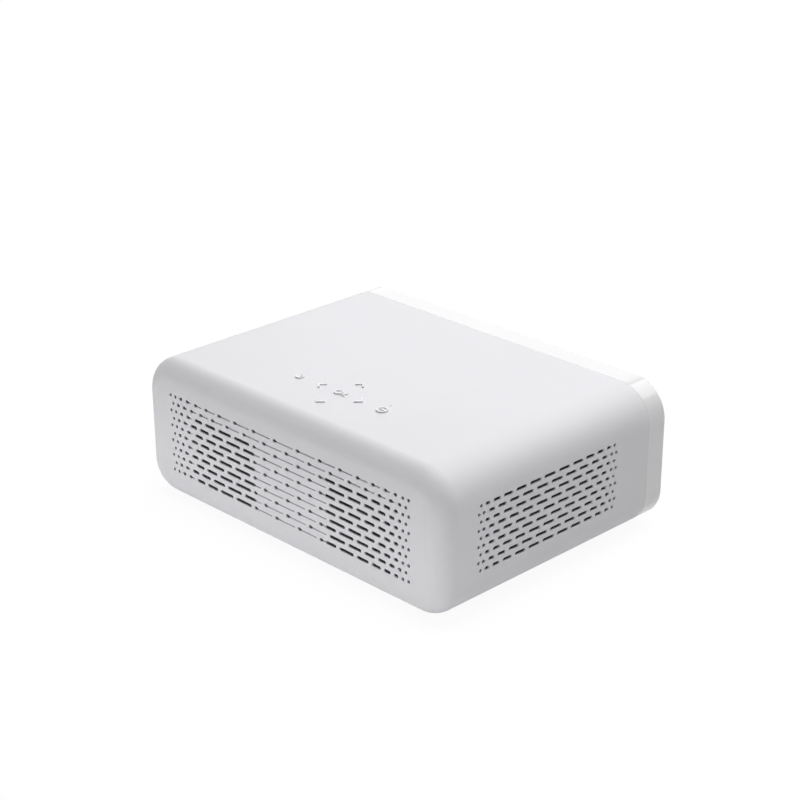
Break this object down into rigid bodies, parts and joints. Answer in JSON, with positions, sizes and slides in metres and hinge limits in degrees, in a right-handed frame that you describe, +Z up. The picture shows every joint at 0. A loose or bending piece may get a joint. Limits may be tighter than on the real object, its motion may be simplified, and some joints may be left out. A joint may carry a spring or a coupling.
{
  "type": "projector with disc player",
  "caption": "Home projector with a motorised disc tray: rounded tube casing with slotted rear and side grilles, raised keys on top, focusing lens and gloss front ring.",
  "frame": {"origin": "on the table, under the middle of the casing", "axes": "+Z up; the lens and the disc tray face -Y; the slotted rear faces +Y; the vented side with the air filter faces -X; sockets face +X"},
  "size_m": [0.29, 0.212, 0.1048],
  "materials": {
    "case_white": "satin moulded ABS",
    "gloss_white": "polished white plastic",
    "panel_dark": "dark gloss plastic",
    "black_plastic": "fine matte black plastic",
    "foam": "black open-cell foam and mesh",
    "rubber": "soft matte rubber",
    "steel": "plain steel",
    "brass": "turned brass",
    "aluminium": "bare aluminium",
    "glass": "coated optical glass",
    "board_green": "lacquered circuit board",
    "loader_grey": "grey moulded plastic",
    "gear_white": "acetal",
    "tray_grey": "fine matte plastic"
  },
  "bodies": {
    "casing": {"main_shell": "case_white", "socket_plate": "black_plastic", "bottom_cover": "case_white", "front_bezel": "gloss_white", "front_panel": "panel_dark", "ir_window": "panel_dark", "dust_filter": "foam", "rear_mesh": "foam", "rubber_feet": "rubber", "cover_screws": "steel", "threaded_inserts": "brass", "stand_pin": "steel", "key_board": "board_green", "main_board": "board_green", "power_supply": "board_green", "hdmi_socket": "black_plastic", "usb_socket": "black_plastic", "mains_inlet": "black_plastic", "audio_jacks": "black_plastic", "lens_mount": "black_plastic", "optics_housing": "black_plastic", "picture_panel": "glass", "condenser_lens": "glass", "light_module": "aluminium", "heat_sink": "aluminium", "side_fan_frame": "black_plastic", "rear_fan_frame": "black_plastic", "speakers": "black_plastic", "loader_frame": "loader_grey", "clamp_bridge": "steel", "loading_motor": "steel", "drive_belt": "rubber"},
    "tilt_stand": {"tilt_stand": "case_white"},
    "focus_ring": {"focus_ring": "black_plastic"},
    "lens_barrel": {"lens_barrel": "black_plastic", "front_lens": "glass", "rear_lens": "glass"},
    "disc_tray": {"disc_tray": "tray_grey", "tray_front": "gloss_white"},
    "tray_gear": {"tray_gear": "gear_white"},
    "drive_pulley": {"drive_pulley": "gear_white"},
    "motor_pulley": {"motor_pulley": "gear_white"},
    "traverse": {"traverse_plate": "steel", "spindle_motor": "steel", "guide_rods": "steel", "sled_motor": "steel"},
    "turntable": {"turntable": "loader_grey"},
    "laser_sled": {"laser_sled": "black_plastic"},
    "lead_screw": {"lead_screw": "steel"},
    "clamp_puck": {"clamp_puck": "loader_grey"},
    "side_fan_rotor": {"side_fan_rotor": "black_plastic"},
    "rear_fan_rotor": {"rear_fan_rotor": "black_plastic"},
    "eject_key": {"eject_key": "gloss_white"},
    "up_key": {"up_key": "case_white"},
    "down_key": {"down_key": "case_white"},
    "left_key": {"left_key": "case_white"},
    "right_key": {"right_key": "case_white"},
    "ok_key": {"ok_key": "case_white"},
    "power_key": {"power_key": "case_white"},
    "back_key": {"back_key": "case_white"}
  },
  "joints": [
    {"name": "tray_slide", "type": "slide", "parent": "casing", "child": "disc_tray", "axis": [0, -1, 0], "range_m": [0, 0.14]},
    {"name": "tray_gear_spin", "type": "hinge", "parent": "casing", "child": "tray_gear", "pos_m": [0.0225, -0.072, 0.06], "axis": [0, 0, 1], "range_deg": [-5, 770]},
    {"name": "drive_pulley_spin", "type": "hinge", "parent": "casing", "child": "drive_pulley", "pos_m": [0.04965, -0.072, 0.056], "axis": [0, 0, 1], "range_deg": [-1994, 8]},
    {"name": "motor_pulley_spin", "type": "hinge", "parent": "casing", "child": "motor_pulley", "pos_m": [0.098, -0.072, 0.053], "axis": [0, 0, 1], "range_deg": [-7468, 20]},
    {"name": "traverse_drop", "type": "hinge", "parent": "casing", "child": "traverse", "pos_m": [0.066, 0.06, 0.056], "axis": [1, 0, 0], "range_deg": [0, 3], "stiffness_Nm_per_rad": 8, "springref_deg": -2.86},
    {"name": "turntable_spin", "type": "hinge", "parent": "traverse", "child": "turntable", "pos_m": [0.066, -0.028, 0.066], "axis": [0, 0, 1], "continuous": true},
    {"name": "sled_slide", "type": "slide", "parent": "traverse", "child": "laser_sled", "axis": [0, 1, 0], "range_m": [0, 0.035]},
    {"name": "lead_screw_spin", "type": "hinge", "parent": "traverse", "child": "lead_screw", "pos_m": [0.093, 0.01, 0.0607], "axis": [0, 1, 0], "range_deg": [-10, 4220]},
    {"name": "clamp_spin", "type": "hinge", "parent": "casing", "child": "clamp_puck", "pos_m": [0.066, -0.028, 0.078], "axis": [0, 0, 1], "continuous": true},
    {"name": "side_fan_spin", "type": "hinge", "parent": "casing", "child": "side_fan_rotor", "pos_m": [-0.133, 0.0095, 0.0534], "axis": [1, 0, 0], "continuous": true},
    {"name": "rear_fan_spin", "type": "hinge", "parent": "casing", "child": "rear_fan_rotor", "pos_m": [-0.078, 0.095, 0.0534], "axis": [0, 1, 0], "continuous": true},
    {"name": "focus_turn", "type": "hinge", "parent": "casing", "child": "focus_ring", "pos_m": [-0.074, -0.095, 0.055], "axis": [0, -1, 0], "range_deg": [0, 120]},
    {"name": "barrel_slide", "type": "slide", "parent": "casing", "child": "lens_barrel", "axis": [0, -1, 0], "range_m": [-0.0001, 0.0041]},
    {"name": "stand_hinge", "type": "hinge", "parent": "casing", "child": "tilt_stand", "pos_m": [0, -0.04, 0.0054], "axis": [1, 0, 0], "range_deg": [0, 72]},
    {"name": "up_key_press", "type": "slide", "parent": "casing", "child": "up_key", "axis": [0, 0, -1], "range_m": [0, 0.0008], "stiffness_N_per_m": 400, "springref_m": -0.0005},
    {"name": "down_key_press", "type": "slide", "parent": "casing", "child": "down_key", "axis": [0, 0, -1], "range_m": [0, 0.0008], "stiffness_N_per_m": 400, "springref_m": -0.0005},
    {"name": "left_key_press", "type": "slide", "parent": "casing", "child": "left_key", "axis": [0, 0, -1], "range_m": [0, 0.0008], "stiffness_N_per_m": 400, "springref_m": -0.0005},
    {"name": "right_key_press", "type": "slide", "parent": "casing", "child": "right_key", "axis": [0, 0, -1], "range_m": [0, 0.0008], "stiffness_N_per_m": 400, "springref_m": -0.0005},
    {"name": "ok_key_press", "type": "slide", "parent": "casing", "child": "ok_key", "axis": [0, 0, -1], "range_m": [0, 0.0008], "stiffness_N_per_m": 400, "springref_m": -0.0005},
    {"name": "power_key_press", "type": "slide", "parent": "casing", "child": "power_key", "axis": [0, 0, -1], "range_m": [0, 0.0008], "stiffness_N_per_m": 400, "springref_m": -0.0005},
    {"name": "back_key_press", "type": "slide", "parent": "casing", "child": "back_key", "axis": [0, 0, -1], "range_m": [0, 0.0008], "stiffness_N_per_m": 400, "springref_m": -0.0005},
    {"name": "eject_key_press", "type": "slide", "parent": "casing", "child": "eject_key", "axis": [0, 1, 0], "range_m": [0, 0.0008], "stiffness_N_per_m": 400, "springref_m": -0.0005}
  ],
  "couplings": [
    {"joint": "tray_gear_spin", "follows": "tray_slide", "rad_per_m": 95.238},
    {"joint": "drive_pulley_spin", "follows": "tray_slide", "rad_per_m": -247.62},
    {"joint": "motor_pulley_spin", "follows": "tray_slide", "rad_per_m": -928.57},
    {"joint": "lead_screw_spin", "follows": "sled_slide", "rad_per_m": 2094.4},
    {"joint": "barrel_slide", "follows": "focus_turn", "m_per_rad": 0.0019099}
  ]
}
